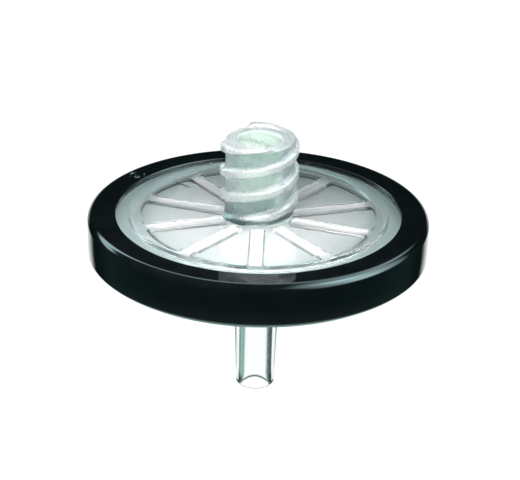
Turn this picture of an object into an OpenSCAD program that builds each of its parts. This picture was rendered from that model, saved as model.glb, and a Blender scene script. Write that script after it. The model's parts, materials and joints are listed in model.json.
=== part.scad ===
// Disc syringe filter: a clear inlet half with a threaded luer-lock socket, a
// clear outlet half with a luer-slip tip, a membrane disc clamped between them
// and a black ring moulded over the joined edge.
// Units are millimetres. The origin is the centre of the inlet's open mouth,
// +Z points out of the mouth, and the outlet tip points down.

/* [Rim ring] */
// Outer diameter of the black ring
ring_d = 34; // [33.6:0.1:36]
// Diameter of the window that the ring leaves open over the plate
window_d = 28.4; // [27.8:0.1:28.6]
// Height of the black ring
ring_h = 4.35; // [4.2:0.05:4.6]
// Radius of the rounded top outer edge
ring_round = 0.7; // [0.3:0.1:1]
// Chamfer on the bottom outer edge
ring_chamfer = 0.35; // [0.2:0.05:0.5]
// How much the ring narrows on the radius towards its bottom edge
ring_draft = 0.03; // [0:0.01:0.1]
// Diameter of the shallow round gate mark on the ring's top
gate_d = 1.7; // [1.2:0.1:2]

/* [Inlet fitting] */
// Height of the inlet fitting above the ring's top face
inlet_h = 7.8; // [7.6:0.1:9]
// Outer diameter of the fitting below its threads
hub_d = 6.7; // [6.5:0.05:6.8]
// Diameter of the tapered socket at its mouth
socket_d = 4.3; // [4.27:0.01:4.32]
// Depth of the tapered socket
socket_depth = 7.6; // [7.5:0.05:7.7]
// Diameter over the thread crests
thread_d = 7.8; // [7.7:0.05:7.85]
// Rise of one thread start in one full turn
thread_lead = 5; // [4.8:0.1:5.2]
// Width of a thread at its crest
thread_crest = 0.6; // [0.4:0.05:0.7]
// Width of a thread where it meets the fitting
thread_root = 1.3; // [1.1:0.05:1.4]
// How far the ends of the threads stand above the mouth
thread_rise = 0.35; // [0.1:0.05:0.4]

/* [Inlet plate] */
// Diameter of the raised centre disc of the plate
disc_d = 25.9; // [25.5:0.1:26.1]
// Inner diameter of the flat rim that frames the disc
sink_d = 23.3; // [23:0.1:23.6]
// Number of radial ribs under the plate
rib_count = 10; // [8:1:12]
// Width of one rib
rib_w = 1.3; // [1:0.1:1.5]
// Radius where the ribs start
rib_r0 = 3.4; // [3.3:0.1:5]

/* [Membrane] */
// Diameter of the membrane disc
membrane_d = 25.2; // [24.8:0.1:25.4]
// Thickness of the membrane disc
membrane_t = 0.16; // [0.12:0.01:0.2]

/* [Outlet side] */
// Length of the outlet below the ring's top face
outlet_l = 19.1; // [18.5:0.1:20]
// Outer diameter of the tip at its free end
tip_d = 3.95; // [3.92:0.01:3.99]
// Diameter of the bore through the tip
tip_bore = 2.6; // [2.2:0.1:2.7]
// Diameter of the collar above the tip
collar_d = 6.8; // [6.4:0.1:7.4]
// Number of support ribs under the membrane
support_count = 20; // [16:2:24]
// Width of one support rib
support_w = 0.8; // [0.6:0.1:1]

/* [Hidden] */

// Luer cones narrow by 6 % on the diameter, 3 % on the radius
taper = 0.03;
seg = 96;
ring_r = ring_d / 2;
window_r = window_d / 2;
hub_r = hub_d / 2;
disc_r = disc_d / 2;
sink_r = sink_d / 2;
// Outer radius of the two welded flanges inside the ring
flange_r = 15.9;
// Levels counted down from the ring's top face
disc_z = 0.05;
rim_z = 0.16;
land_z = -0.24;
lip_z = -1.1;
ceiling_z = -1.15;
weld_z = -1.6;
seat_z = weld_z - membrane_t;
drain_z = seat_z - 0.45;
under_z = drain_z - 1.1;
foot_z = -ring_h - 0.35;
foot_r = 16.15;
chamber_r = sink_r + 0.1;
pocket_r = membrane_d / 2 + 0.05;
inlet_hole_r = 1.1;
socket_floor_z = inlet_h - socket_depth;
collar_z = -7.2;
tip_top_z = -8;
rib_turn = -1;

// Points of an arc from angle a to angle b
function arc(x, y, r, a, b, n = 6) =
  [for (i = [0 : n]) let (t = a + (b - a) * i / n) [x + r * cos(t), y + r * sin(t)]];

// Points of one thread start, four to a station, from below the plate to where
// its root runs out over the mouth. The root is sunk into the fitting.
thread_step = 10;
thread_sink = 0.3;
thread_z0 = -0.2;
thread_turns = floor((inlet_h + thread_root / 2 - thread_z0) / thread_lead * 360 / thread_step);
thread_flare = (thread_root - thread_crest) / (thread_d - hub_d);
function thread_points() = [
  for (i = [0 : thread_turns])
    let (
      z = thread_z0 + thread_lead * thread_step * i / 360,
      a = (z - 1.95) / thread_lead * 360,
      ri = hub_r - thread_sink,
      ro = thread_d / 2,
      wi = thread_root / 2 + thread_sink * thread_flare,
      wo = thread_crest / 2
    )
    each [
      [ri * cos(a), ri * sin(a), z - wi],
      [ro * cos(a), ro * sin(a), z - wo],
      [ro * cos(a), ro * sin(a), z + wo],
      [ri * cos(a), ri * sin(a), z + wi]
    ]
];
function thread_faces() = concat(
  [[3, 2, 1, 0]],
  [for (i = [0 : thread_turns - 1], k = [0 : 3])
    each [
      [4 * i + (k + 1) % 4, 4 * i + 4 + k, 4 * i + k],
      [4 * i + 4 + (k + 1) % 4, 4 * i + 4 + k, 4 * i + (k + 1) % 4]
    ]],
  [[4 * thread_turns, 4 * thread_turns + 1, 4 * thread_turns + 2, 4 * thread_turns + 3]]
);

// One helical thread, cut off level a little above the mouth
module thread_start() {
  intersection() {
    polyhedron(points = thread_points(), faces = thread_faces(), convexity = 8);
    translate([0, 0, -0.8]) cylinder(h = inlet_h + 0.8 + thread_rise, r = 6, $fn = seg);
  }
}

// Straight bars laid out like spokes between two radii
module spokes(count, w, r0, r1, z0, z1, turn = 0) {
  for (i = [0 : count - 1])
    rotate([0, 0, turn + i * 360 / count])
      translate([r0, -w / 2, z0]) cube([r1 - r0, w, z1 - z0]);
}

// Clear inlet half, one moulding: threaded fitting, plate, ribs and flange
module upper_housing() {
  color([0.86, 0.93, 0.92, 0.45])
  translate([0, 0, -inlet_h]) {
    difference() {
      union() {
        rotate_extrude($fn = seg)
          polygon(concat(
            [[0, inlet_h], [hub_r - 0.15, inlet_h]],
            arc(hub_r - 0.15, inlet_h - 0.15, 0.15, 60, 0, 2),
            arc(hub_r + 0.12, disc_z + 0.12, 0.12, 180, 270, 4),
            [[sink_r, disc_z], [sink_r + 0.11, rim_z], [disc_r - 0.12, rim_z]],
            arc(disc_r - 0.12, rim_z - 0.12, 0.12, 60, 0, 2),
            [[disc_r, land_z], [window_r, land_z], [window_r, lip_z],
             [flange_r, lip_z], [flange_r, weld_z], [chamber_r, weld_z],
             [chamber_r, ceiling_z], [0, ceiling_z]]));
        thread_start();
        rotate([0, 0, 180]) thread_start();
        spokes(rib_count, rib_w, rib_r0, chamber_r + 0.4, weld_z, ceiling_z + 0.3, 90 + rib_turn);
        // Raised tick on the plate that marks the mould position
        rotate([0, 0, 141]) translate([8.9, -0.15, disc_z - 0.2]) cube([2.3, 0.3, 0.3]);
      }
      // Tapered socket with a small lead-in at the mouth
      translate([0, 0, socket_floor_z])
        cylinder(h = socket_depth, r1 = socket_d / 2 - taper * socket_depth, r2 = socket_d / 2, $fn = seg);
      translate([0, 0, inlet_h - 0.12])
        cylinder(h = 0.3, r1 = socket_d / 2 - 0.01, r2 = socket_d / 2 + 0.29, $fn = seg);
      translate([0, 0, ceiling_z - 1])
        cylinder(h = 3, r = inlet_hole_r, $fn = seg);
    }
  }
}

// Clear outlet half, one moulding: plate, support ribs, collar and tip
module lower_housing() {
  color([0.84, 0.92, 0.91, 0.45])
  translate([0, 0, -inlet_h]) {
    difference() {
      union() {
        rotate_extrude($fn = seg)
          polygon(concat(
            [[0, drain_z], [chamber_r, drain_z], [chamber_r, seat_z],
             [pocket_r, seat_z], [pocket_r, weld_z], [flange_r, weld_z],
             [flange_r, -ring_h], [foot_r, -ring_h], [foot_r, foot_z + 0.15],
             [foot_r - 0.15, foot_z], [14.7, foot_z], [14.4, foot_z + 0.3]],
            arc(14.1, under_z - 0.3, 0.3, 0, 90, 4),
            [[sink_r + 0.25, under_z], [sink_r, under_z - 0.15]],
            arc(collar_d / 2 + 0.5, under_z - 0.65, 0.5, 90, 180, 5),
            arc(collar_d / 2 - 0.4, collar_z + 0.4, 0.4, 0, -90, 5),
            [[tip_d / 2 + taper * (outlet_l + tip_top_z) + 0.25, collar_z]],
            [[tip_d / 2 + taper * (outlet_l + tip_top_z), tip_top_z]],
            arc(tip_d / 2 - 0.35, 0.35 - outlet_l, 0.35, 0, -90, 6),
            [[0, -outlet_l]]));
        spokes(support_count, support_w, 6.5, chamber_r + 0.3, drain_z - 0.3, seat_z, 9);
        spokes(support_count / 2, support_w, 2.4, 7, drain_z - 0.3, seat_z, 9);
      }
      // Outlet bore with a flared mouth at each end
      translate([0, 0, -outlet_l - 1])
        cylinder(h = outlet_l + 1 + drain_z + 1, r = tip_bore / 2, $fn = seg);
      translate([0, 0, -outlet_l - 0.1])
        cylinder(h = 0.2, r1 = tip_bore / 2 + 0.2, r2 = tip_bore / 2, $fn = seg);
      translate([0, 0, drain_z - 0.5])
        cylinder(h = 0.6, r1 = tip_bore / 2, r2 = tip_bore / 2 + 0.6, $fn = seg);
    }
  }
}

// White filter membrane, a flat disc
module membrane() {
  color([0.97, 0.97, 0.96])
  translate([0, 0, seat_z - inlet_h]) cylinder(h = membrane_t, r = membrane_d / 2, $fn = seg);
}

// Black ring moulded over the flanges of both halves
module rim_ring() {
  color([0.05, 0.055, 0.06])
  translate([0, 0, -inlet_h])
    difference() {
      rotate_extrude($fn = 2 * seg)
        polygon(concat(
          [[window_r, -0.08]],
          [[window_r + 0.08, 0]],
          arc(ring_r - ring_round, -ring_round, ring_round, 90, 0, 8),
          [[ring_r - ring_draft, -ring_h + ring_chamfer],
           [ring_r - ring_draft - ring_chamfer, -ring_h],
           [flange_r, -ring_h], [flange_r, lip_z], [window_r, lip_z]]));
      // Shallow round gate mark
      rotate([0, 0, 145.5]) translate([15.3, 0, -0.1]) cylinder(h = 1, r = gate_d / 2, $fn = 48);
    }
}

upper_housing();
lower_housing();
membrane();
rim_ring();
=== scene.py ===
"""Disc syringe filter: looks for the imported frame.

The two clear mouldings, the membrane and the black rim are rebuilt as fine
closed meshes with moulded radii on the same sections as the CAD nodes that
they stand for. Lengths in the mesh code are millimetres above the rim's top
face, and put() turns them into metres in the row's frame.
"""

import math

import bpy
import bmesh
import json
import numpy as np
from mathutils import Matrix, Vector
from mathutils.geometry import delaunay_2d_cdt

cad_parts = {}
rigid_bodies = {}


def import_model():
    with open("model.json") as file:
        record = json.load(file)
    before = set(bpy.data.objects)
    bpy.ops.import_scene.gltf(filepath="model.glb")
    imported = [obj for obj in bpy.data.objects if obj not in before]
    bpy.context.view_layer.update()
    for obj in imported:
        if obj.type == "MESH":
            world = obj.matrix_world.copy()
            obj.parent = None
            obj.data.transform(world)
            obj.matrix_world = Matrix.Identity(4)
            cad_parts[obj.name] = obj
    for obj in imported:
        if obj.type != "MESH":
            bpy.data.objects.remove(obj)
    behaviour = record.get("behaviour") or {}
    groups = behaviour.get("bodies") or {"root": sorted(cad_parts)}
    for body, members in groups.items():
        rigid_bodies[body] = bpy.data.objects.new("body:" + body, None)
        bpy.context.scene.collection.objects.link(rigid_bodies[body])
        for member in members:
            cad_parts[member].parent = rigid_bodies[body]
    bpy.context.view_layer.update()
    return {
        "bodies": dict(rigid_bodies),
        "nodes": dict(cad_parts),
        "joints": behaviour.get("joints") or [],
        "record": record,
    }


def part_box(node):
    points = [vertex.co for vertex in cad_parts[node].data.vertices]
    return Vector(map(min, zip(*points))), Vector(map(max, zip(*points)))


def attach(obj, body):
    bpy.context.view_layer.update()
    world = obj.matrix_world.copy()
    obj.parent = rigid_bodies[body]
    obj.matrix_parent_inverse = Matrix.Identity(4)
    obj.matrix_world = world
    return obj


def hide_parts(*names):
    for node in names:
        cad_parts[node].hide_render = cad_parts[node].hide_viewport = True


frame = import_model()

MM = 0.001
RIM_LO, RIM_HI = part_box("rim_ring")
UP_LO, UP_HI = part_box("upper_housing")
LOW_LO, LOW_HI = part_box("lower_housing")
MEM_LO, MEM_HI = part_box("membrane")
TOP = RIM_HI.z / MM  # the rim's top face in the row's frame, mm
# the CAD ring is a polygon, a little narrower along Y
RING_R = min(RIM_HI.x, RIM_HI.y) / MM - 0.001
RING_H = (RIM_HI.z - RIM_LO.z) / MM
INLET_H = -TOP  # the frame's origin is the mouth
RISE = UP_HI.z / MM  # how far the thread ends stand above the mouth
TIP_Z = (LOW_LO.z - RIM_HI.z) / MM
MEM_R = MEM_HI.x / MM
MEM_TOP = (MEM_HI.z - RIM_HI.z) / MM
MEM_BOTTOM = (MEM_LO.z - RIM_HI.z) / MM
BODY = list(frame["bodies"])[0]

# ---------------------------------------------------------------- camera
# The photograph's viewing angle: 23.9 degrees above the rim's plane, 200 mm
# from the rim's centre, leaning 1.25 degrees.
ELEV, DIST, ROLL = math.radians(23.91), 200.0, math.radians(1.25)
FOCAL, CX, CY = 2010.6, 258.49, 211.66


def make_camera():
    back = Vector((0, -math.cos(ELEV), math.sin(ELEV)))
    right = Vector((1, 0, 0))
    up = back.cross(right)
    c, s = math.cos(ROLL), math.sin(ROLL)
    rows = (right * c + up * s, up * c - right * s, back)
    aim = Vector(((CX - 260) / FOCAL, -(CY - 240) / FOCAL, -1)).normalized()
    turn = Vector((0, 0, -1)).rotation_difference(aim).to_matrix()
    view = turn @ Matrix(rows)
    data = bpy.data.cameras.new("camera")
    data.lens = FOCAL * 36 / 520
    data.sensor_width = 36
    data.clip_start, data.clip_end = 0.01, 20
    cam = bpy.data.objects.new("camera", data)
    bpy.context.scene.collection.objects.link(cam)
    place = view.transposed().to_4x4()
    place.translation = (back * DIST + Vector((0, 0, TOP))) * MM
    cam.matrix_world = place
    bpy.context.scene.camera = cam


make_camera()


# ---------------------------------------------------------------- mesh tools
class Shell:
    """Vertices in mm and faces of one closed skin, built up patch by patch."""

    def __init__(self):
        self.v, self.f, self.flat = [], [], []

    def ring(self, r, z, n, turn=0.0):
        start = len(self.v)
        a = np.arange(n) * 2 * np.pi / n + turn
        rr = np.broadcast_to(np.asarray(r, float), (n,))
        zz = np.broadcast_to(np.asarray(z, float), (n,))
        self.v += list(zip(rr * np.cos(a), rr * np.sin(a), zz))
        return list(range(start, start + n))

    def loop(self, xy, z):
        start = len(self.v)
        self.v += [(float(x), float(y), float(z)) for x, y in xy]
        return list(range(start, start + len(xy)))

    def face(self, ids, flat=False):
        out = [i for k, i in enumerate(ids) if i != ids[k - 1]]
        if len(set(out)) >= 3:
            self.f.append(out)
            self.flat.append(flat)

    def band(self, a, b, flat=False):
        n = len(a)
        for i in range(n):
            j = (i + 1) % n
            self.face((a[i], a[j], b[j], b[i]), flat)

    def lathe(self, section, n, first=None):
        """Bands through (r, z) points. Returns the first and last ring."""
        rings = [first] if first is not None else []
        for r, z in section:
            rings.append(self.ring(r, z, n))
            if len(rings) > 1:
                self.band(rings[-2], rings[-1])
        return rings[0], rings[-1]

    def fill(self, loops):
        """A flat, triangulated patch between the first loop and the rest."""
        ids = [i for lp in loops for i in lp]
        at = {g: k for k, g in enumerate(ids)}
        pts = [Vector(self.v[g][:2]) for g in ids]
        edges = []
        for lp in loops:
            edges += [(at[lp[i]], at[lp[(i + 1) % len(lp)]]) for i in range(len(lp))]
        vo, _, fo, ov, _, _ = delaunay_2d_cdt(pts, edges, [], 0, 1e-6)
        p = np.array([v[:] for v in vo])
        tri = np.array(fo)
        mid = p[tri].mean(1)
        a = np.array([pts[i][:] for i, _ in edges])
        b = np.array([pts[j][:] for _, j in edges])
        inside = np.zeros(len(mid), bool)
        for k in range(0, len(mid), 4000):
            m = mid[k : k + 4000]
            x, y = m[:, 0:1], m[:, 1:2]
            cross = (a[None, :, 1] > y) != (b[None, :, 1] > y)
            with np.errstate(divide="ignore", invalid="ignore"):
                xi = a[None, :, 0] + (y - a[None, :, 1]) * (b - a)[None, :, 0] / (b - a)[
                    None, :, 1
                ]
            inside[k : k + 4000] = ((cross & (x < xi)).sum(1) % 2) == 1
        back = [ids[o[0]] if o else None for o in ov]
        for t in tri[inside]:
            g = [back[i] for i in t]
            if None in g:
                raise RuntimeError("a flat patch needed a point of its own")
            self.face(g, True)

    def cap(self, ring, z):
        c = len(self.v)
        self.v.append((0.0, 0.0, float(z)))
        for i in range(len(ring)):
            self.face((ring[i], ring[(i + 1) % len(ring)], c))


def arc(cx, cy, r, a0, a1, n=6, skip=False):
    """Points of an arc, in degrees. skip leaves out the first point."""
    t = np.radians(np.linspace(a0, a1, n + 1))
    pts = [(cx + r * math.cos(x), cy + r * math.sin(x)) for x in t]
    return pts[1:] if skip else pts


def put(shell, name, node, sharp=32.0):
    """Makes the object, with hard edges where faces meet at an angle."""
    me = bpy.data.meshes.new(name)
    v = (np.array(shell.v) + (0, 0, TOP)) * MM
    me.from_pydata(v.tolist(), [], shell.f)
    bm = bmesh.new()
    bm.from_mesh(me)
    for face, flat in zip(bm.faces, shell.flat):
        face.smooth = not flat
    bmesh.ops.remove_doubles(bm, verts=bm.verts, dist=2e-7)
    bmesh.ops.dissolve_degenerate(bm, edges=bm.edges, dist=1e-8)
    bmesh.ops.recalc_face_normals(bm, faces=bm.faces)
    if bm.calc_volume(signed=True) < 0:
        bmesh.ops.reverse_faces(bm, faces=bm.faces)
    open_edges = sum(not e.is_manifold for e in bm.edges)
    for e in bm.edges:
        e.smooth = not (
            len(e.link_faces) == 2 and e.calc_face_angle(0.0) > math.radians(sharp)
        )
    bm.to_mesh(me)
    tris = sum(len(f.verts) - 2 for f in bm.faces)
    volume = bm.calc_volume() * 1e9
    bm.free()
    ob = bpy.data.objects.new(name, me)
    bpy.context.scene.collection.objects.link(ob)
    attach(ob, BODY)
    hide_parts(node)
    print(f"{name}: {tris} triangles, {open_edges} open edges, {volume:.1f} mm3")
    return ob


def spoke_pocket(count, half, starts, wall, corner, nose, turn):
    """Outline of the air between radial ribs inside a round wall, as points and the directions that point into the air. The ribs' inner ends are at the radii in starts, taken in turn."""
    pts, nrm = [], []

    def add(p, n, c, s):
        pts.append((p[0] * c - p[1] * s, p[0] * s + p[1] * c))
        nrm.append((n[0] * c - n[1] * s, n[0] * s + n[1] * c))

    yc = half + corner
    xc = math.sqrt((wall - corner) ** 2 - yc**2)
    end = math.degrees(math.atan2(yc, xc))
    for k in range(count):
        s0 = starts[k % len(starts)]
        a = math.radians(turn + 360 * k / count)
        c, s = math.cos(a), math.sin(a)
        # coming in along the rib's lower side, round its inner end and out again
        for t in np.linspace(-end, 90, 9):
            q = math.radians(t)
            add(
                (xc + corner * math.cos(q), -yc + corner * math.sin(q)),
                (-math.cos(q), -math.sin(q)),
                c,
                s,
            )
        for x in np.linspace(xc, s0 + nose, 14)[1:-1]:
            add((x, -half), (0, -1), c, s)
        for t in np.linspace(270, 180, 7):
            q = math.radians(t)
            add(
                (s0 + nose + nose * math.cos(q), -half + nose + nose * math.sin(q)),
                (math.cos(q), math.sin(q)),
                c,
                s,
            )
        for t in np.linspace(180, 90, 7):
            q = math.radians(t)
            add(
                (s0 + nose + nose * math.cos(q), half - nose + nose * math.sin(q)),
                (math.cos(q), math.sin(q)),
                c,
                s,
            )
        for x in np.linspace(s0 + nose, xc, 14)[1:-1]:
            add((x, half), (0, 1), c, s)
        for t in np.linspace(-90, end, 9):
            q = math.radians(t)
            add(
                (xc + corner * math.cos(q), yc + corner * math.sin(q)),
                (-math.cos(q), -math.sin(q)),
                c,
                s,
            )
        # along the wall to the next rib
        step = 360 / count
        for t in np.linspace(end, step - end, max(6, int(480 / count)))[1:-1]:
            q = math.radians(t)
            add((wall * math.cos(q), wall * math.sin(q)), (-math.cos(q), -math.sin(q)), c, s)
    return np.array(pts), np.array(nrm)


# ---------------------------------------------------------------- inlet half
FLANGE_R, WINDOW_R, DISC_R, SINK_R = 15.9, 14.2, 12.95, 11.65
DISC_Z, RAISED_Z, LAND_Z, LIP_Z = 0.05, 0.16, -0.24, -1.1
CEILING_Z = -1.15
RIB_R0 = 3.4
WELD_Z = MEM_TOP
HUB_R, THREAD_R, LEAD = 3.35, 3.9, 5.0
MOUTH_R, SOCKET_FLOOR, HOLE_R = 2.15, 0.2, 1.1
CHAMBER_R = 11.75
FOOT_R = 0.12
GAP = 0.012  # air left between parts that touch, so that no two skins coincide


def thread_height(w):
    """How far the thread stands out at w mm from its crest, with rounded edges."""
    t = (0.66 - np.abs(w)) / 0.36
    e = 0.14
    low = np.where(t < -e, 0.0, np.where(t < e, (t + e) ** 2 / (4 * e), t))
    return (THREAD_R - HUB_R) * np.where(
        t > 1 + e, 1.0, np.where(t > 1 - e, 1 - (1 + e - t) ** 2 / (4 * e), low)
    )


def mouth_top(a):
    """Height of the hub's upper edge at angle a, higher where a thread runs out."""
    d = np.degrees(a) % 180
    lift = np.interp(d, [0, 40, 52, 63, 76, 93, 100, 105, 111, 118, 180], [0, 0, 0.1, 0.45, 0.75, 0.94, 0.98, 0.78, 0.34, 0, 0])
    return INLET_H + RISE * lift


def hub_radius(z, a):
    """Radius of the threaded hub at height z and angle a."""
    w = (z - 1.95 - LEAD * a / (2 * np.pi) + LEAD / 4) % (LEAD / 2) - LEAD / 4
    h = thread_height(w)
    low = np.clip(DISC_Z + FOOT_R - z, 0, FOOT_R)
    foot = FOOT_R - np.sqrt(np.maximum(FOOT_R**2 - low**2, 0))
    high = np.clip(z - (mouth_top(a) - 0.13), 0, 0.13)
    rim = 0.13 - np.sqrt(np.maximum(0.13**2 - high**2, 0))
    # the two halves of the mould leave a faint line down each side
    seam = 0.018 * np.exp(-(((a - math.radians(323) + np.pi) % (2 * np.pi) - np.pi) / 0.012) ** 2)
    seam += 0.018 * np.exp(-(((a - math.radians(143) + np.pi) % (2 * np.pi) - np.pi) / 0.012) ** 2)
    k = 0.05
    both = (foot + h + np.sqrt((foot - h) ** 2 + k * k) - k) / 2
    return HUB_R + np.maximum(both, np.maximum(foot, h)) - rim + seam * (h < 0.3)


def upper_housing():
    n = 288
    s = Shell()
    ang = np.arange(n) * 2 * np.pi / n
    z0, z1 = DISC_Z + FOOT_R, mouth_top(ang) - 0.13
    # helical rows that follow the thread, cut off at z0 and z1
    offs = [-1.25, -1.1, -0.95, -0.82, -0.74, -0.68, -0.62, -0.56, -0.49, -0.42, -0.37, -0.32, -0.26, -0.18, -0.08]
    offs += [-x for x in offs[1:]][::-1]
    pattern = sorted(offs)
    m = len(pattern)
    pitch = LEAD / 2
    bottom = s.ring(hub_radius(np.full(n, z0), ang), z0, n)
    top = s.ring(hub_radius(z1, ang), z1, n)
    made = {}
    first = -int(math.ceil((LEAD + 2.0) / pitch)) * m
    last = int(math.ceil((z1.max() + 2.0) / pitch)) * m

    def height(j, i):
        p, q = divmod(j, m)
        return 1.95 + pitch * p + pattern[q] + LEAD * i / n

    def at(j, i):
        if i == n:
            return at(j + 2 * m, 0)
        z = height(j, i)
        if z <= z0 + 0.004:
            return bottom[i]
        if z >= z1[i] - 0.004:
            return top[i]
        if (j, i) not in made:
            a = ang[i]
            r = float(hub_radius(np.array([z]), np.array([a]))[0])
            made[j, i] = len(s.v)
            s.v.append((r * math.cos(a), r * math.sin(a), z))
        return made[j, i]

    for j in range(first, last):
        for i in range(n):
            if height(j + 1, i + 1) < z0 or height(j, i) > z1.max():
                continue
            s.face((at(j, i), at(j, i + 1), at(j + 1, i + 1), at(j + 1, i)))
    # rounded rim of the mouth, its flat, lead-in, socket, floor and orifice
    prev = top
    for q in np.radians([18, 36, 54, 72, 90]):
        z = z1 + 0.13 * math.sin(q)
        nxt = s.ring(hub_radius(z, ang), z, n)
        s.band(prev, nxt)
        prev = nxt
    # the thread ends' inner walls, which are flat to the mouth elsewhere
    tall = z1 + 0.13 - INLET_H
    for r, h in ((3.13, tall), (3.09, np.maximum(tall - 0.05, 0)), (3.07, tall * 0.4), (3.05, 0 * tall)):
        nxt = s.ring(r, INLET_H + np.minimum(h, tall), n)
        s.band(prev, nxt)
        prev = nxt
    inner = s.ring(MOUTH_R + 0.15, INLET_H, n)
    s.band(prev, inner, True)
    section = arc(MOUTH_R + 0.15, INLET_H - 0.03, 0.03, 90, 150, 2, True)
    section += [(MOUTH_R + 0.02, INLET_H - 0.10), (MOUTH_R - 0.004, INLET_H - 0.15)]
    floor_r = MOUTH_R - 0.03 * (INLET_H - SOCKET_FLOOR)
    for t in np.linspace(0.1, 0.95, 8):
        z = INLET_H - 0.15 - t * (INLET_H - 0.15 - SOCKET_FLOOR - 0.2)
        section.append((MOUTH_R - 0.03 * (INLET_H - z), z))
    section += arc(floor_r - 0.2, SOCKET_FLOOR + 0.2, 0.2, 0, -90, 6)
    section += arc(HOLE_R + 0.06, SOCKET_FLOOR - 0.06, 0.06, 90, 180, 3)
    section += arc(HOLE_R + 0.06, CEILING_Z + 0.06, 0.06, 180, 270, 3)
    _, hole = s.lathe(section, n, inner)
    # foot of the hub and the plate's top with its small tick
    prev = bottom
    for q in np.radians([15, 30, 45, 60, 75, 90]):
        z = DISC_Z + FOOT_R * (1 - math.sin(q))
        rr = hub_radius(np.full(n, z), ang)
        nxt = s.ring(rr, z, n)
        s.band(prev, nxt)
        prev = nxt
    foot = prev
    section = [(SINK_R - 0.03, DISC_Z), (SINK_R + 0.01, DISC_Z + 0.012), (SINK_R + 0.09, RAISED_Z - 0.014), (SINK_R + 0.13, RAISED_Z)]
    section += arc(DISC_R - 0.1, RAISED_Z - 0.1, 0.1, 90, 0, 6)
    section += arc(DISC_R + 0.07, LAND_Z + 0.07, 0.07, 180, 270, 4)
    edge, _ = s.lathe(section[:1], n)
    land, outer = s.lathe(section[1:] + [(WINDOW_R + 0.01, LAND_Z), (WINDOW_R + 0.01, LIP_Z), (FLANGE_R, LIP_Z), (FLANGE_R, WELD_Z)], n, edge)
    c, q = math.cos(math.radians(141)), math.sin(math.radians(141))
    loops = []
    for d, z in ((0.06, DISC_Z), (0.02, DISC_Z + 0.015), (0.0, DISC_Z + 0.05), (-0.03, DISC_Z + 0.085), (-0.07, DISC_Z + 0.1)):
        out = []
        for cx, sgn, a0 in ((11.05, 1, -90), (9.05, 1, 90)):
            for t in np.radians(np.linspace(a0, a0 + 180, 13)):
                x, y = cx + (0.15 + d) * math.cos(t), (0.15 + d) * math.sin(t)
                out.append((x * c - y * q, x * q + y * c))
        loops.append(s.loop(out, z))
    for a, b in zip(loops, loops[1:]):
        s.band(a, b)
    s.fill([loops[-1]])
    s.fill([edge, foot, loops[0]])
    # ribs under the plate
    pts, nrm = spoke_pocket(10, 0.65, (RIB_R0,), CHAMBER_R, 0.35, 0.2, 89)
    rows = []
    for d, z in ((-0.07, 0), (-0.035, 0.006), (-0.012, 0.025), (0.0, 0.06)):
        rows.append(s.loop(pts + nrm * d, WELD_Z + z))
    for d, z in ((0.012, -0.2), (0.022, -0.11), (0.04, -0.055), (0.075, -0.016), (0.12, 0.0)):
        rows.append(s.loop(pts + nrm * d, CEILING_Z + z))
    for a, b in zip(rows, rows[1:]):
        s.band(a, b)
    s.fill([rows[-1], hole])
    s.fill([outer, rows[0]])
    return s


# ---------------------------------------------------------------- outlet half
SEAT_Z, DRAIN_Z = MEM_BOTTOM, MEM_BOTTOM - 0.45
UNDER_Z = DRAIN_Z - 1.1
BORE_R, TIP_R, COLLAR_R, COLLAR_Z, TIP_TOP = 1.3, 1.975, 3.4, -7.2, -8.0


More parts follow.
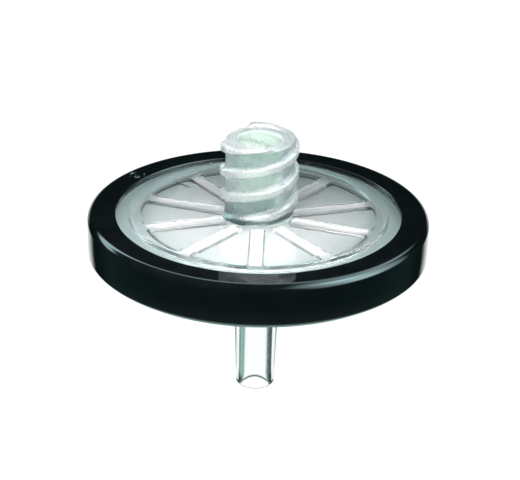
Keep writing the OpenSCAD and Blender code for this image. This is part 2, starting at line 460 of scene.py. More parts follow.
def lower_housing():
    n = 240
    s = Shell()
    weld = WELD_Z - GAP
    seat = SEAT_Z - GAP
    section = [(FLANGE_R, weld), (FLANGE_R, -RING_H)]
    section += [(16.15, -RING_H), (16.15, -RING_H - 0.2)]
    section += arc(16.0, -RING_H - 0.2, 0.15, 0, -90, 5, True)
    section += [(14.78, -4.7)] + arc(14.72, -4.62, 0.08, 250, 225, 2, True) + [(14.44, -4.42)]
    section += [(14.4, -4.3), (14.4, UNDER_Z - 0.3)]
    section += arc(14.1, UNDER_Z - 0.3, 0.3, 0, 90, 8, True)
    section += [(12.0, UNDER_Z), (11.9, UNDER_Z - 0.01), (11.68, UNDER_Z - 0.14), (11.6, UNDER_Z - 0.15)]
    section += arc(COLLAR_R + 0.5, UNDER_Z - 0.65, 0.5, 90, 180, 8)
    section += arc(COLLAR_R - 0.4, COLLAR_Z + 0.4, 0.4, 0, -90, 8)
    top_r = TIP_R + 0.03 * (TIP_TOP - TIP_Z)
    section += arc(top_r + 0.3, COLLAR_Z - 0.3, 0.3, 90, 160, 5)
    section += [(top_r + 0.01, TIP_TOP)]
    for t in np.linspace(0.1, 1.0, 8):
        z = TIP_TOP + t * (TIP_Z + 0.4 - TIP_TOP)
        section.append((TIP_R + 0.03 * (z - TIP_Z), z))
    section += arc(TIP_R - 0.35, TIP_Z + 0.35, 0.35, 0, -90, 9, True)
    section += [(BORE_R + 0.2, TIP_Z), (BORE_R + 0.15, TIP_Z + 0.01)]
    section += [(BORE_R + 0.03, TIP_Z + 0.07), (BORE_R, TIP_Z + 0.15)]
    for t in np.linspace(0.1, 1.0, 6):
        section.append((BORE_R, TIP_Z + 0.15 + t * (DRAIN_Z - 0.55 - TIP_Z - 0.15)))
    section += [(BORE_R + 0.04, DRAIN_Z - 0.45), (BORE_R + 0.45, DRAIN_Z - 0.05), (BORE_R + 0.52, DRAIN_Z)]
    first, hole = s.lathe(section, n)
    pts, nrm = spoke_pocket(20, 0.4, (2.4, 6.5), CHAMBER_R, 0.3, 0.15, 9)
    rows = []
    for d, z in ((-0.07, seat), (-0.03, seat - 0.008), (-0.01, seat - 0.03), (0.0, seat - 0.06), (0.012, DRAIN_Z + 0.1), (0.04, DRAIN_Z + 0.04), (0.1, DRAIN_Z)):
        rows.append(s.loop(pts + nrm * d, z))
    for a, b in zip(rows, rows[1:]):
        s.band(a, b)
    s.fill([rows[-1], hole])
    pocket = [(MEM_R + 0.05, seat), (MEM_R + 0.05, weld - 0.03), (MEM_R + 0.08, weld)]
    p0, p1 = s.lathe(pocket, n)
    s.fill([p0, rows[0]])
    s.fill([first, p1])
    return s


# ---------------------------------------------------------------- membrane
def membrane():
    """The film, drawn down a little between the ribs above it."""
    n = 300
    s = Shell()
    a = np.arange(n) * 2 * np.pi / n
    radii = np.concatenate((np.linspace(0.8, 11.6, 37), np.linspace(11.8, MEM_R - 0.03, 5)))
    gap = np.abs((np.degrees(a) - 89 + 18) % 36 - 18)

    def sag(r):
        side = np.clip(r * np.sin(np.radians(gap)) - 0.65, 0, 2.5) / 2.5
        fade = np.clip((r - 1.5) / 3.5, 0, 1) * np.clip((11.5 - r) / 0.8, 0, 1)
        return 0.03 * np.sin(side * np.pi / 2) * fade

    top, bottom = [], []
    for r in radii:
        top.append(s.ring(r, MEM_TOP - GAP - 0.006 - sag(r), n))
    edge = s.ring(MEM_R, MEM_TOP - GAP - 0.03, n)
    for r in radii[::6]:
        bottom.append(s.ring(r, MEM_BOTTOM + 0.004, n))
    low = s.ring(MEM_R, MEM_BOTTOM + 0.02, n)
    for x, y in zip(top, top[1:]):
        s.band(x, y)
    s.band(top[-1], edge)
    s.band(edge, low)
    last = s.ring(MEM_R - 0.02, MEM_BOTTOM + 0.004, n)
    s.band(low, last)
    s.band(last, bottom[-1])
    for x, y in zip(bottom[::-1], bottom[::-1][1:]):
        s.band(x, y)
    s.cap(top[0], MEM_TOP - GAP - 0.006)
    s.cap(bottom[0], MEM_BOTTOM + 0.004)
    return s


# ---------------------------------------------------------------- black rim
def rim_ring():
    """The overmoulded ring. Its inner faces bite 0.02 mm into the clear halves, as a moulded bond does."""
    n = 480
    s = Shell()
    bite = 0.02
    inner_r = WINDOW_R
    section = [(inner_r + 0.09, 0.0)]
    section = arc(inner_r + 0.09, -0.09, 0.09, 90, 180, 5)
    section += [(inner_r, LIP_Z - bite), (FLANGE_R - bite, LIP_Z - bite)]
    section += [(FLANGE_R - bite, -RING_H)]
    chamfer = 0.35
    base_r = RING_R - 0.03
    section += [(base_r - chamfer - 0.05, -RING_H)]
    section += arc(base_r - chamfer - 0.05, -RING_H + 0.08, 0.08, -90, -45, 3, True)
    section += [(base_r - 0.06, -RING_H + chamfer - 0.05)]
    section += [(base_r - 0.015, -RING_H + chamfer + 0.03), (base_r, -RING_H + chamfer + 0.12)]
    section += [(RING_R - 0.015, -2.4)]
    section += arc(RING_R - 0.7, -0.7, 0.7, 0, 90, 22)
    first, last = s.lathe(section, n)
    c, q = 15.3 * math.cos(math.radians(145.5)), 15.3 * math.sin(math.radians(145.5))
    rows = []
    for r, z in ((0.87, 0.0), (0.84, -0.012), (0.825, -0.04), (0.81, -0.075), (0.77, -0.1), (0.3, -0.1), (0.26, -0.09), (0.2, -0.05), (0.16, -0.04)):
        t = np.arange(48) * 2 * np.pi / 48
        rows.append(s.loop(np.stack((c + r * np.cos(t), q + r * np.sin(t)), -1), z))
    for a, b in zip(rows, rows[1:]):
        s.band(a, b)
    s.fill([rows[-1]])
    s.fill([last, first, rows[0]])
    return s


upper = put(upper_housing(), "inlet_half", "upper_housing")
lower = put(lower_housing(), "outlet_half", "lower_housing")
film = put(membrane(), "membrane_film", "membrane")
ring = put(rim_ring(), "black_rim", "rim_ring")


# ---------------------------------------------------------------- materials
def new_material(name):
    mat = bpy.data.materials.new(name)
    mat.use_nodes = True
    nt = mat.node_tree
    nt.nodes.clear()
    out = nt.nodes.new("ShaderNodeOutputMaterial")
    return mat, nt, out


def noise(nt, coord, scale, detail=3.0, rough=0.5):
    t = nt.nodes.new("ShaderNodeTexNoise")
    t.inputs["Scale"].default_value = scale
    t.inputs["Detail"].default_value = detail
    t.inputs["Roughness"].default_value = rough
    nt.links.new(coord, t.inputs["Vector"])
    return t.outputs["Fac"]


def spread(nt, value, lo, hi, to_lo, to_hi, kind="LINEAR"):
    m = nt.nodes.new("ShaderNodeMapRange")
    m.interpolation_type = kind
    for name, x in (("From Min", lo), ("From Max", hi), ("To Min", to_lo), ("To Max", to_hi)):
        m.inputs[name].default_value = x
    nt.links.new(value, m.inputs["Value"])
    return m.outputs["Result"]


def maths(nt, op, a, b=None):
    m = nt.nodes.new("ShaderNodeMath")
    m.operation = op
    for k, x in enumerate((a, b)):
        if x is None:
            continue
        if isinstance(x, (int, float)):
            m.inputs[k].default_value = x
        else:
            nt.links.new(x, m.inputs[k])
    return m.outputs[0]


def clear_plastic(name, frosted_hub):
    mat, nt, out = new_material(name)
    geo = nt.nodes.new("ShaderNodeTexCoord").outputs["Object"]
    p = nt.nodes.new("ShaderNodeBsdfPrincipled")
    p.inputs["IOR"].default_value = 1.5
    p.inputs["Transmission Weight"].default_value = 1.0
    fine = noise(nt, geo, 9000.0, 2.0)
    wave = noise(nt, geo, 350.0, 3.0)
    polish = spread(nt, noise(nt, geo, 1400.0, 4.0), 0.3, 0.7, 0.012, 0.035)
    sep = nt.nodes.new("ShaderNodeSeparateXYZ")
    nt.links.new(geo, sep.inputs[0])
    r2 = maths(nt, "SQRT", maths(nt, "ADD", maths(nt, "POWER", sep.outputs[0], 2.0), maths(nt, "POWER", sep.outputs[1], 2.0)))
    # the welded faces round the membrane are rough
    out_of = spread(nt, r2, 0.01235, 0.0127, 0.0, 1.0, "SMOOTHSTEP")
    level = maths(nt, "ABSOLUTE", maths(nt, "SUBTRACT", sep.outputs[2], WELD_Z * MM + TOP * MM))
    weld = maths(nt, "MULTIPLY", out_of, spread(nt, level, 0.00004, 0.00008, 1.0, 0.0))
    satin = spread(nt, noise(nt, geo, 3000.0, 3.0), 0.3, 0.7, 0.30, 0.45)
    # the framed edge and the walls of the ribs are satin, the rest polished
    frame = spread(nt, r2, 0.0112, 0.0117, 0.0, 0.15, "SMOOTHSTEP")
    walls_in = maths(nt, "MULTIPLY", spread(nt, sep.outputs[2], (TOP + CEILING_Z - 0.06) * MM, (TOP + CEILING_Z - 0.01) * MM, 0.26, 0.0), spread(nt, sep.outputs[2], (TOP + WELD_Z - 0.01) * MM, (TOP + WELD_Z) * MM, 0.0, 1.0))
    polish = maths(nt, "MAXIMUM", polish, maths(nt, "MAXIMUM", frame, walls_in))
    blend = nt.nodes.new("ShaderNodeMix")
    blend.data_type = "FLOAT"
    nt.links.new(weld, blend.inputs[0])
    nt.links.new(polish, blend.inputs[2])
    nt.links.new(satin, blend.inputs[3])
    polish = blend.outputs[0]
    haze = maths(nt, "MULTIPLY", weld, 0.45)
    shade = nt.nodes.new("ShaderNodeMix")
    shade.data_type = "RGBA"
    nt.links.new(weld, shade.inputs[0])
    shade.inputs[6].default_value = (0.995, 1.0, 1.0, 1)
    shade.inputs[7].default_value = (0.60, 0.74, 0.73, 1)
    nt.links.new(shade.outputs[2], p.inputs["Base Color"])
    if frosted_hub:
        near = spread(nt, r2, 0.0040, 0.0044, 1.0, 0.0, "SMOOTHSTEP")
        high = spread(nt, sep.outputs[2], (TOP + 0.02) * MM, (TOP + 0.5) * MM, 0.0, 1.0, "SMOOTHSTEP")
        mask = maths(nt, "MULTIPLY", near, high)
        grain = noise(nt, geo, 16000.0, 3.0, 0.6)
        ridge = spread(nt, r2, (HUB_R + 0.10) * MM, (HUB_R + 0.36) * MM, 0.0, 1.0, "SMOOTHSTEP")
        brim = spread(nt, sep.outputs[2], -0.0003, -0.0001, 0.0, 1.0, "SMOOTHSTEP")
        close = maths(nt, "MAXIMUM", spread(nt, r2, (HUB_R + 0.04) * MM, (HUB_R + 0.16) * MM, 1.0, 0.0), spread(nt, sep.outputs[2], (TOP + DISC_Z + 0.01) * MM, (TOP + DISC_Z + 0.05) * MM, 0.0, 1.0))
        below = maths(nt, "MULTIPLY", maths(nt, "MULTIPLY", near, close), spread(nt, sep.outputs[2], (TOP + 0.5) * MM, (TOP + 0.75) * MM, 1.0, 0.0, "SMOOTHSTEP"))
        below = maths(nt, "MULTIPLY", below, spread(nt, sep.outputs[2], (TOP - 0.3) * MM, (TOP + 0.05) * MM, 0.0, 1.0, "SMOOTHSTEP"))
        # painted highlight: the thread crests and the mouth's rim take a light satin white, while the walls between
        # them take painted shade
        painted_highlight_mask = maths(nt, "MAXIMUM", ridge, maths(nt, "MULTIPLY", brim, 0.9))
        ridge = maths(nt, "MAXIMUM", ridge, maths(nt, "MULTIPLY", brim, 0.25))
        frost = maths(nt, "SUBTRACT", spread(nt, grain, 0.3, 0.7, 0.24, 0.34), maths(nt, "MULTIPLY", ridge, 0.02))
        rough = nt.nodes.new("ShaderNodeMix")
        rough.data_type = "FLOAT"
        nt.links.new(maths(nt, "MAXIMUM", mask, below), rough.inputs[0])
        nt.links.new(polish, rough.inputs[2])
        nt.links.new(frost, rough.inputs[3])
        nt.links.new(rough.outputs[0], p.inputs["Roughness"])
        # the frosted fitting scatters part of the light, more in its coarse grain
        milk = maths(nt, "ADD", spread(nt, grain, 0.35, 0.65, 0.03, 0.10), maths(nt, "MULTIPLY", ridge, 0.08))
        bore = maths(nt, "MULTIPLY", spread(nt, r2, 0.0022, 0.0024, 1.0, 0.0, "SMOOTHSTEP"), mask)
        milk = maths(nt, "ADD", milk, maths(nt, "MULTIPLY", brim, 0.07))
        milk = maths(nt, "ADD", milk, maths(nt, "MULTIPLY", bore, spread(nt, grain, 0.35, 0.65, 0.08, 0.24)))
        haze = maths(nt, "MAXIMUM", maths(nt, "MULTIPLY", mask, milk), haze)
        tint = nt.nodes.new("ShaderNodeMix")
        tint.data_type = "RGBA"
        nt.links.new(mask, tint.inputs[0])
        nt.links.new(shade.outputs[2], tint.inputs[6])
        painted_crest_light = nt.nodes.new("ShaderNodeMix")
        painted_crest_light.data_type = "RGBA"
        nt.links.new(painted_highlight_mask, painted_crest_light.inputs[0])
        # the ramp's dark teal end is painted shade on the walls between the crests
        walls = nt.nodes.new("ShaderNodeValToRGB")
        walls.color_ramp.elements[0].position = 0.0
        walls.color_ramp.elements[0].color = (0.22, 0.38, 0.40, 1)
        walls.color_ramp.elements[1].position = 1.0
        walls.color_ramp.elements[1].color = (0.94, 0.985, 0.99, 1)
        # painted shade: the walls darken low down by the plate and a little towards the top, lightest half way up;
        # three noises add cloudy tone at random
        up = spread(nt, sep.outputs[2], (TOP + 0.4) * MM, (TOP + 3.6) * MM, 0.16, 0.80, "SMOOTHSTEP")
        painted_top_shade = spread(nt, sep.outputs[2], (TOP + 4.2) * MM, (TOP + 6.2) * MM, 0.0, 0.30, "SMOOTHSTEP")
        cloud_and_painted_shade = maths(nt, "ADD", maths(nt, "SUBTRACT", up, painted_top_shade), spread(nt, noise(nt, geo, 420.0, 3.0), 0.3, 0.7, -0.24, 0.24))
        cloud_and_painted_shade = maths(nt, "ADD", cloud_and_painted_shade, spread(nt, noise(nt, geo, 8000.0, 3.0, 0.6), 0.3, 0.7, -0.30, 0.30))
        cloud_and_painted_shade = maths(nt, "ADD", cloud_and_painted_shade, spread(nt, noise(nt, geo, 2500.0, 2.0, 0.5), 0.3, 0.7, -0.10, 0.16))
        nt.links.new(cloud_and_painted_shade, walls.inputs[0])
        nt.links.new(walls.outputs[0], painted_crest_light.inputs[6])
        painted_crest_light.inputs[7].default_value = (0.94, 0.95, 0.96, 1)
        nt.links.new(painted_crest_light.outputs[2], tint.inputs[7])
        # painted shadow: the hub's foot and the plate right round it are tinted dark teal
        painted_foot_shadow = nt.nodes.new("ShaderNodeMix")
        painted_foot_shadow.data_type = "RGBA"
        nt.links.new(below, painted_foot_shadow.inputs[0])
        painted_foot_shadow.inputs[7].default_value = (0.17, 0.29, 0.30, 1)
        green = nt.nodes.new("ShaderNodeMix")
        green.data_type = "RGBA"
        nt.links.new(bore, green.inputs[0])
        nt.links.new(tint.outputs[2], painted_foot_shadow.inputs[6])
        nt.links.new(painted_foot_shadow.outputs[2], green.inputs[6])
        socket = nt.nodes.new("ShaderNodeValToRGB")
        socket.color_ramp.elements[0].position = 0.40
        socket.color_ramp.elements[0].color = (0.42, 0.66, 0.50, 1)
        socket.color_ramp.elements[1].position = 0.60
        socket.color_ramp.elements[1].color = (0.92, 0.98, 0.94, 1)
        nt.links.new(noise(nt, geo, 7000.0, 3.0, 0.6), socket.inputs[0])
        nt.links.new(socket.outputs[0], green.inputs[7])
        nt.links.new(green.outputs[2], p.inputs["Base Color"])
    else:
        # the long bore is drawn off its core pin and left slightly satin
        drawn = spread(nt, r2, 0.00142, 0.00152, 0.14, 0.0)
        nt.links.new(maths(nt, "MAXIMUM", polish, drawn), p.inputs["Roughness"])
    nt.links.new(maths(nt, "SUBTRACT", 1.0, haze), p.inputs["Transmission Weight"])
    bump = nt.nodes.new("ShaderNodeBump")
    bump.inputs["Strength"].default_value = 0.05
    bump.inputs["Distance"].default_value = 0.00004
    lay = nt.nodes.new("ShaderNodeCombineXYZ")
    nt.links.new(r2, lay.inputs[0])
    turned = maths(nt, "MULTIPLY", noise(nt, lay.outputs[0], 5200.0, 3.0, 0.6), spread(nt, r2, 0.0112, 0.0118, 0.0, 1.0, "SMOOTHSTEP"))
    relief = maths(nt, "ADD", maths(nt, "MULTIPLY", fine, 0.04), maths(nt, "MULTIPLY", wave, 0.25))
    nt.links.new(maths(nt, "ADD", relief, maths(nt, "MULTIPLY", turned, 0.18)), bump.inputs["Height"])
    nt.links.new(bump.outputs[0], p.inputs["Normal"])
    nt.links.new(p.outputs[0], out.inputs["Surface"])
    vol = nt.nodes.new("ShaderNodeVolumeAbsorption")
    vol.inputs["Color"].default_value = (0.66, 0.92, 0.92, 1)
    vol.inputs["Density"].default_value = 18.0
    nt.links.new(vol.outputs[0], out.inputs["Volume"])
    return mat


def film_white():
    mat, nt, out = new_material("membrane_white")
    geo = nt.nodes.new("ShaderNodeTexCoord").outputs["Object"]
    p = nt.nodes.new("ShaderNodeBsdfPrincipled")
    tone = nt.nodes.new("ShaderNodeValToRGB")
    tone.color_ramp.elements[0].position = 0.3
    tone.color_ramp.elements[0].color = (0.88, 0.89, 0.885, 1)
    tone.color_ramp.elements[1].position = 0.7
    tone.color_ramp.elements[1].color = (0.94, 0.945, 0.94, 1)
    nt.links.new(noise(nt, geo, 3500.0, 5.0, 0.65), tone.inputs[0])
    # painted shade: the film darkens towards the chamber wall, and between the ribs it darkens outward while the
    # strips under the ribs keep the plain tone as painted light
    sep = nt.nodes.new("ShaderNodeSeparateXYZ")
    nt.links.new(geo, sep.inputs[0])
    r2 = maths(nt, "SQRT", maths(nt, "ADD", maths(nt, "POWER", sep.outputs[0], 2.0), maths(nt, "POWER", sep.outputs[1], 2.0)))
    edge = spread(nt, r2, 0.0103, 0.0120, 0.0, 1.0, "SMOOTHSTEP")
    turn = maths(nt, "ARCTAN2", sep.outputs[1], sep.outputs[0])
    turn = maths(nt, "ADD", turn, math.radians(-89 + 18 + 720))
    turn = maths(nt, "SUBTRACT", maths(nt, "MODULO", turn, math.radians(36)), math.radians(18))
    aside = maths(nt, "MULTIPLY", r2, maths(nt, "ABSOLUTE", maths(nt, "SINE", turn)))
    under = spread(nt, aside, 0.00050, 0.00072, 1.0, 0.0, "SMOOTHSTEP")
    under = maths(nt, "MULTIPLY", under, spread(nt, r2, 0.0034, 0.0036, 0.0, 1.0))
    # painted light: the strips under the ribs keep the plain tone, the gaps between them take the painted shade
    painted_rib_light = nt.nodes.new("ShaderNodeMix")
    painted_rib_light.data_type = "RGBA"
    nt.links.new(under, painted_rib_light.inputs[0])
    painted_gap_shade = nt.nodes.new("ShaderNodeMix")
    painted_gap_shade.data_type = "RGBA"
    painted_gap_shade.blend_type = "MULTIPLY"
    painted_gap_shade.inputs[0].default_value = 1.0
    nt.links.new(tone.outputs[0], painted_gap_shade.inputs[6])
    # painted shade: the gaps between the ribs darken from 6 mm out to 11 mm
    painted_outward_shade = nt.nodes.new("ShaderNodeMix")
    painted_outward_shade.data_type = "RGBA"
    nt.links.new(spread(nt, r2, 0.0060, 0.0110, 0.0, 1.0, "SMOOTHSTEP"), painted_outward_shade.inputs[0])
    painted_outward_shade.inputs[6].default_value = (0.80, 0.845, 0.84, 1)
    painted_outward_shade.inputs[7].default_value = (0.63, 0.72, 0.715, 1)
    nt.links.new(painted_outward_shade.outputs[2], painted_gap_shade.inputs[7])
    nt.links.new(painted_gap_shade.outputs[2], painted_rib_light.inputs[6])
    nt.links.new(tone.outputs[0], painted_rib_light.inputs[7])
    # painted shade: grey-teal towards the chamber wall
    painted_wall_shade = nt.nodes.new("ShaderNodeMix")
    painted_wall_shade.data_type = "RGBA"
    nt.links.new(edge, painted_wall_shade.inputs[0])
    nt.links.new(painted_rib_light.outputs[2], painted_wall_shade.inputs[6])
    painted_wall_shade.inputs[7].default_value = (0.44, 0.53, 0.53, 1)
    nt.links.new(painted_wall_shade.outputs[2], p.inputs["Base Color"])
    nt.links.new(spread(nt, noise(nt, geo, 5000.0, 2.0), 0.3, 0.7, 0.6, 0.8), p.inputs["Roughness"])
    bump = nt.nodes.new("ShaderNodeBump")
    bump.inputs["Strength"].default_value = 0.3
    bump.inputs["Distance"].default_value = 0.00002
    nt.links.new(noise(nt, geo, 12000.0, 3.0), bump.inputs["Height"])
    nt.links.new(bump.outputs[0], p.inputs["Normal"])
    nt.links.new(p.outputs[0], out.inputs["Surface"])
    return mat


def polished_black():
    mat, nt, out = new_material("rim_black")
    geo = nt.nodes.new("ShaderNodeTexCoord").outputs["Object"]
    p = nt.nodes.new("ShaderNodeBsdfPrincipled")
    tone = nt.nodes.new("ShaderNodeValToRGB")
    tone.color_ramp.elements[0].position = 0.35
    tone.color_ramp.elements[0].color = (0.0014, 0.0018, 0.0023, 1)
    tone.color_ramp.elements[1].position = 0.7
    tone.color_ramp.elements[1].color = (0.0028, 0.0034, 0.0040, 1)
    nt.links.new(noise(nt, geo, 500.0, 5.0), tone.inputs[0])
    nt.links.new(tone.outputs[0], p.inputs["Base Color"])
    nt.links.new(spread(nt, noise(nt, geo, 900.0, 5.0, 0.6), 0.3, 0.75, 0.03, 0.06), p.inputs["Roughness"])
    p.inputs["IOR"].default_value = 1.5
    bump = nt.nodes.new("ShaderNodeBump")
    bump.inputs["Strength"].default_value = 0.04
    bump.inputs["Distance"].default_value = 0.00004
    wide = noise(nt, geo, 180.0, 2.0)
    fine = noise(nt, geo, 7000.0, 2.0)
    nt.links.new(maths(nt, "ADD", wide, maths(nt, "MULTIPLY", fine, 0.06)), bump.inputs["Height"])
    nt.links.new(bump.outputs[0], p.inputs["Normal"])
    nt.links.new(p.outputs[0], out.inputs["Surface"])
    return mat


upper.data.materials.append(clear_plastic("clear_inlet", True))
lower.data.materials.append(clear_plastic("clear_outlet", False))
film.data.materials.append(film_white())
ring.data.materials.append(polished_black())


# ---------------------------------------------------------------- studio
def direction(az, el):
    a, e = math.radians(az), math.radians(el)
    return Vector((math.cos(a) * math.cos(e), math.sin(a) * math.cos(e), math.sin(e)))


AIM = Vector((0, 0, TOP * MM))


def softbox(name, az, el, along, up, roll, width, height, radiance, colour=(1, 1, 1), dist=0.6, mirrored=True):
    """A rectangular lamp. along and up move its centre over the plane that faces the filter from (az, el); sizes are in units of the distance."""
    c = direction(az, el)
    r = Vector((0, 0, 1)).cross(c).normalized()
    u = c.cross(r)
    data = bpy.data.lights.new(name, "AREA")
    data.shape = "RECTANGLE"
    data.size, data.size_y = width * dist, height * dist
    data.energy = radiance * math.pi * data.size * data.size_y
    data.color = colour
    ob = bpy.data.objects.new(name, data)
    bpy.context.scene.collection.objects.link(ob)
    q = math.radians(roll)
    x = r * math.cos(q) + u * math.sin(q)
    y = u * math.cos(q) - r * math.sin(q)
    place = Matrix((x, y, c)).transposed().to_4x4()
    place.translation = AIM + (c + r * along + u * up) * dist
    ob.matrix_world = place
    ob.visible_camera = False
    ob.visible_glossy = mirrored
    return ob


softbox("top_fill", 90, 68, 0.0, 0.0, 0, 1.3, 1.0, 0.30, (1.0, 0.98, 0.985), mirrored=False)
softbox("near_front", 256, 47, 0.0, 0.0, 0, 0.70, 0.62, 19.5, (1.0, 0.935, 0.95), dist=0.033, mirrored=False)


# az, el, offset along and up, roll, width, height, softness, radiance; offsets
# and sizes are tangents seen from the filter
PANELS = (
    (-17, 29, 0.0, 0.0, 0, 0.50, 1.15, 0.45, 5.8),
    (-18, 29, 0.0, 0.0, 0, 1.35, 1.15, 0.60, 4.6),
    (22, 60, 0.0, 0.0, -14, 1.45, 0.50, 0.24, 3.6),
)
# strips that matter in reflections and light little else
STRIPS = (
    (133, 31.5, 0.0, 0.0, -22, 0.92, 0.20, 0.13, 5.2),
    (94, 43, 0.0, 0.0, 0, 0.28, 0.42, 0.14, 2.2),
)


def panel(nt, coord, az, el, along, up, roll, width, height, soft):
    """A rectangle of light in the surround whose edges fade out."""
    c = direction(az, el)
    r = Vector((0, 0, 1)).cross(c).normalized()
    u = c.cross(r)
    q = math.radians(roll)
    x = r * math.cos(q) + u * math.sin(q)
    y = u * math.cos(q) - r * math.sin(q)
    mid = (c + r * along + u * up).normalized()
    # the panel faces the filter from its own centre
    ax, ay = mid.dot(x) / mid.dot(c), mid.dot(y) / mid.dot(c)

    def dot(v):
        d = nt.nodes.new("ShaderNodeVectorMath")
        d.operation = "DOT_PRODUCT"
        nt.links.new(coord, d.inputs[0])
        d.inputs[1].default_value = v
        return d.outputs["Value"]

    front = dot(c)
    deep = maths(nt, "MAXIMUM", front, 0.02)
    mask = spread(nt, front, 0.02, 0.10, 0.0, 1.0)
    for axis, offset, size in ((x, ax, width), (y, ay, height)):
        away = maths(nt, "ABSOLUTE", maths(nt, "SUBTRACT", maths(nt, "DIVIDE", dot(axis), deep), offset))
        mask = maths(nt, "MULTIPLY", mask, spread(nt, away, size / 2 - soft / 2, size / 2 + soft / 2, 1.0, 0.0, "SMOOTHSTEP"))
    return mask


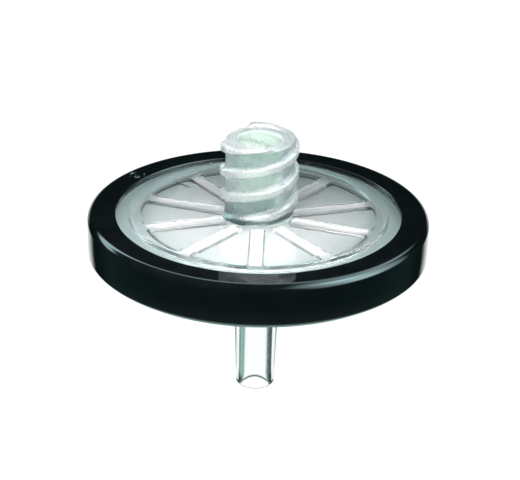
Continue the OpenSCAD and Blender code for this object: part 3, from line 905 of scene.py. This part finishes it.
def world():
    w = bpy.data.worlds.new("studio")
    bpy.context.scene.world = w
    w.use_nodes = True
    nt = w.node_tree
    nt.nodes.clear()
    out = nt.nodes.new("ShaderNodeOutputWorld")
    geo = nt.nodes.new("ShaderNodeTexCoord").outputs["Generated"]
    sep = nt.nodes.new("ShaderNodeSeparateXYZ")
    nt.links.new(geo, sep.inputs[0])
    x, y, z = sep.outputs
    flat = maths(nt, "SQRT", maths(nt, "ADD", maths(nt, "POWER", x, 2.0), maths(nt, "POWER", y, 2.0)))
    # a white sheet behind and below, dark room elsewhere
    ahead = maths(nt, "DIVIDE", y, maths(nt, "MAXIMUM", flat, 0.001))
    wide = spread(nt, ahead, 0.80, 0.93, 0.0, 1.0, "SMOOTHSTEP")
    low = spread(nt, z, 0.02, 0.14, 1.0, 0.0, "SMOOTHSTEP")
    sheet = maths(nt, "MULTIPLY", wide, low)
    below = spread(nt, z, -0.95, -0.45, 0.55, 0.0, "SMOOTHSTEP")
    sheet = maths(nt, "MAXIMUM", sheet, below)
    path = nt.nodes.new("ShaderNodeLightPath")
    mirror = maths(nt, "MULTIPLY", path.outputs["Is Glossy Ray"], maths(nt, "SUBTRACT", 1.0, path.outputs["Is Transmission Ray"]))
    panels = None
    for az, el, along, up, roll, width, height, soft, level in PANELS + STRIPS:
        one = panel(nt, geo, az, el, along, up, roll, width, height, soft)
        one = maths(nt, "MULTIPLY", one, level)
        strip = (az, el, along, up, roll, width, height, soft, level) in STRIPS
        one = maths(nt, "MULTIPLY", one, spread(nt, mirror, 0.0, 1.0, 0.2 if strip else 0.26, 1.0))
        panels = one if panels is None else maths(nt, "ADD", panels, one)
    room = nt.nodes.new("ShaderNodeBackground")
    room.inputs["Color"].default_value = (0.33, 0.95, 0.96, 1)
    slot = maths(nt, "MULTIPLY", spread(nt, ahead, 0.35, 0.75, 0.0, 1.0, "SMOOTHSTEP"), spread(nt, z, 0.62, 0.75, 1.0, 0.0, "SMOOTHSTEP"))
    nt.links.new(spread(nt, slot, 0.0, 1.0, 0.115, 0.025), room.inputs["Strength"])
    white = nt.nodes.new("ShaderNodeBackground")
    bounce = nt.nodes.new("ShaderNodeMix")
    bounce.data_type = "RGBA"
    nt.links.new(spread(nt, below, 0.0, 0.25, 0.0, 1.0), bounce.inputs[0])
    bounce.inputs[6].default_value = (0.97, 1.0, 0.985, 1)
    bounce.inputs[7].default_value = (0.66, 1.0, 0.95, 1)
    nt.links.new(bounce.outputs[2], white.inputs["Color"])
    white.inputs["Strength"].default_value = 1.2
    mix = nt.nodes.new("ShaderNodeMixShader")
    nt.links.new(sheet, mix.inputs[0])
    nt.links.new(room.outputs[0], mix.inputs[1])
    nt.links.new(white.outputs[0], mix.inputs[2])
    glow = nt.nodes.new("ShaderNodeBackground")
    hue = nt.nodes.new("ShaderNodeMix")
    hue.data_type = "RGBA"
    hue.inputs[6].default_value = (1.0, 0.95, 0.96, 1)
    hue.inputs[7].default_value = (0.68, 0.97, 1.0, 1)
    nt.links.new(mirror, hue.inputs[0])
    nt.links.new(hue.outputs[2], glow.inputs["Color"])
    nt.links.new(panels, glow.inputs["Strength"])
    both = nt.nodes.new("ShaderNodeAddShader")
    nt.links.new(mix.outputs[0], both.inputs[0])
    nt.links.new(glow.outputs[0], both.inputs[1])
    # soft light from low on both sides and a faint green one from below on the
    # left, seen only through the plastic
    tinge = nt.nodes.new("ShaderNodeBackground")
    tinge.inputs["Color"].default_value = (0.50, 1.0, 0.82, 1)
    low_left = panel(nt, geo, 150, -24, 0.0, 0.0, 0, 0.56, 0.40, 0.26)
    nt.links.new(maths(nt, "MULTIPLY", maths(nt, "MULTIPLY", low_left, 0.42), maths(nt, "SUBTRACT", 1.0, mirror)), tinge.inputs["Strength"])
    aside = nt.nodes.new("ShaderNodeBackground")
    aside.inputs["Color"].default_value = (0.97, 1.0, 0.99, 1)
    left = maths(nt, "MULTIPLY", panel(nt, geo, 205, 12, 0.0, 0.0, 0, 1.0, 0.9, 0.5), 1.5)
    right = maths(nt, "MULTIPLY", panel(nt, geo, -12, 10, 0.0, 0.0, 0, 1.2, 0.5, 0.3), 2.2)
    nt.links.new(maths(nt, "MULTIPLY", maths(nt, "ADD", left, right), maths(nt, "SUBTRACT", 1.0, mirror)), aside.inputs["Strength"])
    low = nt.nodes.new("ShaderNodeAddShader")
    nt.links.new(tinge.outputs[0], low.inputs[0])
    nt.links.new(aside.outputs[0], low.inputs[1])
    mix = nt.nodes.new("ShaderNodeAddShader")
    nt.links.new(both.outputs[0], mix.inputs[0])
    nt.links.new(low.outputs[0], mix.inputs[1])
    seen = nt.nodes.new("ShaderNodeBackground")
    seen.inputs["Color"].default_value = (1, 1, 1, 1)
    seen.inputs["Strength"].default_value = 1.1
    last = nt.nodes.new("ShaderNodeMixShader")
    nt.links.new(path.outputs["Is Camera Ray"], last.inputs[0])
    nt.links.new(mix.outputs[0], last.inputs[1])
    nt.links.new(seen.outputs[0], last.inputs[2])
    nt.links.new(last.outputs[0], out.inputs["Surface"])


world()


def floor():
    """A plain white floor under the tip, seen from above."""
    me = bpy.data.meshes.new("floor")
    k, z = 3.0, LOW_LO.z - 0.0006
    me.from_pydata([(-k, -k, z), (k, -k, z), (k, k, z), (-k, k, z)], [], [(0, 1, 2, 3)])
    ob = bpy.data.objects.new("floor", me)
    bpy.context.scene.collection.objects.link(ob)
    mat, nt, out = new_material("floor_white")
    glow = nt.nodes.new("ShaderNodeEmission")
    glow.inputs["Strength"].default_value = 1.1
    clear = nt.nodes.new("ShaderNodeBsdfTransparent")
    path = nt.nodes.new("ShaderNodeLightPath")
    geo = nt.nodes.new("ShaderNodeNewGeometry")
    show = maths(nt, "MULTIPLY", path.outputs["Is Camera Ray"], maths(nt, "SUBTRACT", 1.0, geo.outputs["Backfacing"]))
    mix = nt.nodes.new("ShaderNodeMixShader")
    nt.links.new(show, mix.inputs[0])
    nt.links.new(clear.outputs[0], mix.inputs[1])
    nt.links.new(glow.outputs[0], mix.inputs[2])
    nt.links.new(mix.outputs[0], out.inputs["Surface"])
    me.materials.append(mat)


floor()

sc = bpy.context.scene
sc.view_settings.view_transform = "Standard"
sc.view_settings.look = "None"
sc.view_settings.exposure = 0.0
sc.view_settings.gamma = 1.0
sc.cycles.max_bounces = 24
sc.cycles.transmission_bounces = 24
sc.cycles.transparent_max_bounces = 24
sc.cycles.glossy_bounces = 12
sc.cycles.diffuse_bounces = 6
sc.cycles.use_denoising = True
sc.cycles.caustics_reflective = True
sc.cycles.caustics_refractive = True
sc.cycles.sample_clamp_indirect = 20.0
